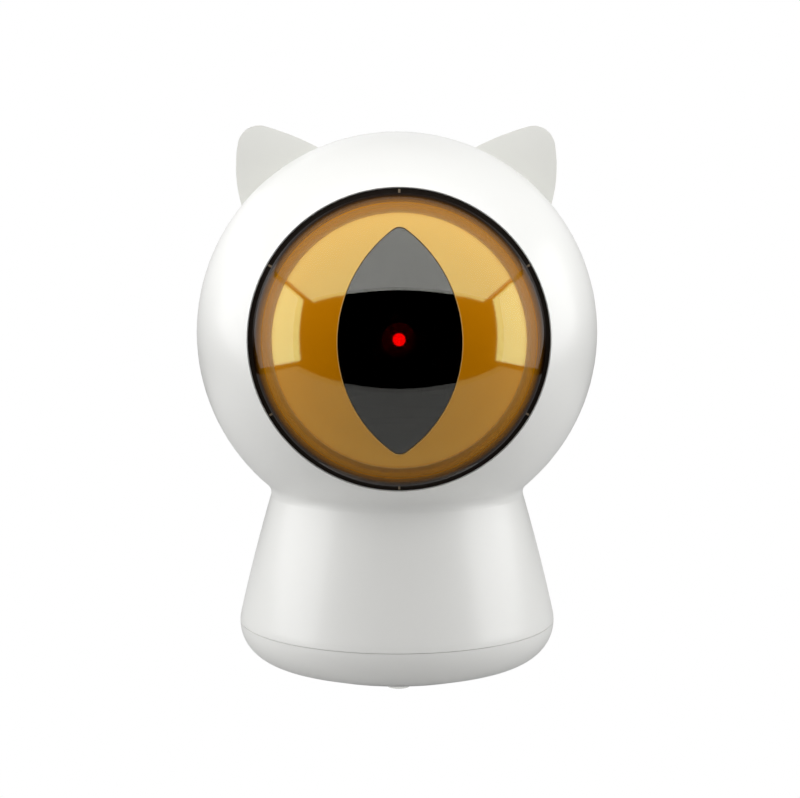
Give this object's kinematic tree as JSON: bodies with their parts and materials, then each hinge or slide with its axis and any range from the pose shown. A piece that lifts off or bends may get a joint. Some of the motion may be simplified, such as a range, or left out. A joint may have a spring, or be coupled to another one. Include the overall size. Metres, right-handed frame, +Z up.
{
  "type": "automatic cat laser toy",
  "caption": "Ball-shaped laser toy with cat ears, a domed amber eye and a flared pedestal; a geared pan and tilt gimbal aims the laser behind the slit pupil.",
  "frame": {"origin": "on the floor under the middle of the pedestal", "axes": "+Z up, the eye looks along -Y, +X to the viewer's right"},
  "size_m": [0.1, 0.1, 0.1362],
  "materials": {
    "shell": "satin",
    "ear": "matte",
    "amber": "polished",
    "black": "matte",
    "gold": "satin metallic",
    "smoke": "polished",
    "frame": "satin",
    "steel": "brushed",
    "rubber": "matte",
    "cell": "gloss",
    "board": "satin",
    "button": "satin",
    "clear": "polished",
    "inner": "matte",
    "bronze": "satin",
    "gear": "satin",
    "laser": "glowing"
  },
  "bodies": {
    "housing": {"front_shell": "shell", "rear_shell": "shell", "shell_screws": "steel", "left_ear": "ear", "right_ear": "ear", "eye_lens": "amber", "eye_gasket": "black", "iris": "gold", "pupil_window": "smoke", "iris_frame": "frame", "iris_frame_screws": "steel", "base_pan": "shell", "base_screws": "steel", "rubber_feet": "rubber", "battery_door": "shell", "battery_door_screw": "steel", "battery_box": "black", "battery_cells": "cell", "battery_contacts": "steel", "door_contacts": "steel", "main_board": "board", "board_chips": "black", "board_screws": "steel", "tact_switch": "black", "usb_board": "board", "usb_socket": "steel", "light_pipe": "clear", "indicator_led": "clear", "chassis_plate": "inner", "chassis_screws": "steel", "pan_bushing": "bronze", "pan_motor": "steel"},
    "button": {"power_button": "button"},
    "pan_pinion": {"pan_motor_shaft": "steel", "pan_pinion": "gear"},
    "pan_yoke": {"pan_yoke": "inner", "pan_washer": "steel", "pan_screw": "steel", "tilt_motor": "steel"},
    "tilt_pinion": {"tilt_motor_shaft": "steel", "tilt_pinion": "gear"},
    "laser": {"laser_cradle": "inner", "tilt_pins": "steel", "laser_barrel": "bronze", "laser_lens": "laser", "laser_diode": "bronze", "laser_board": "board", "laser_set_screw": "steel"}
  },
  "joints": [
    {"name": "button_press", "type": "slide", "parent": "housing", "child": "button", "axis": [0, -1, 0], "range_m": [0, 0.0008], "stiffness_N_per_m": 1500},
    {"name": "pan", "type": "hinge", "parent": "housing", "child": "pan_yoke", "pos_m": [0, 0, 0.065], "axis": [0, 0, 1], "range_deg": [-15, 15]},
    {"name": "pan_pinion_spin", "type": "hinge", "parent": "housing", "child": "pan_pinion", "pos_m": [0.024, 0, 0.065], "axis": [0, 0, 1], "range_deg": [-62, 62]},
    {"name": "tilt", "type": "hinge", "parent": "pan_yoke", "child": "laser", "pos_m": [0, 0, 0.0841], "axis": [1, 0, 0], "range_deg": [-10, 28]},
    {"name": "tilt_pinion_spin", "type": "hinge", "parent": "pan_yoke", "child": "tilt_pinion", "pos_m": [0, 0.0176, 0.0841], "axis": [1, 0, 0], "range_deg": [-76, 28]}
  ],
  "couplings": [
    {"joint": "pan_pinion_spin", "follows": "pan", "ratio": -4},
    {"joint": "tilt_pinion_spin", "follows": "tilt", "ratio": -2.6667}
  ]
}
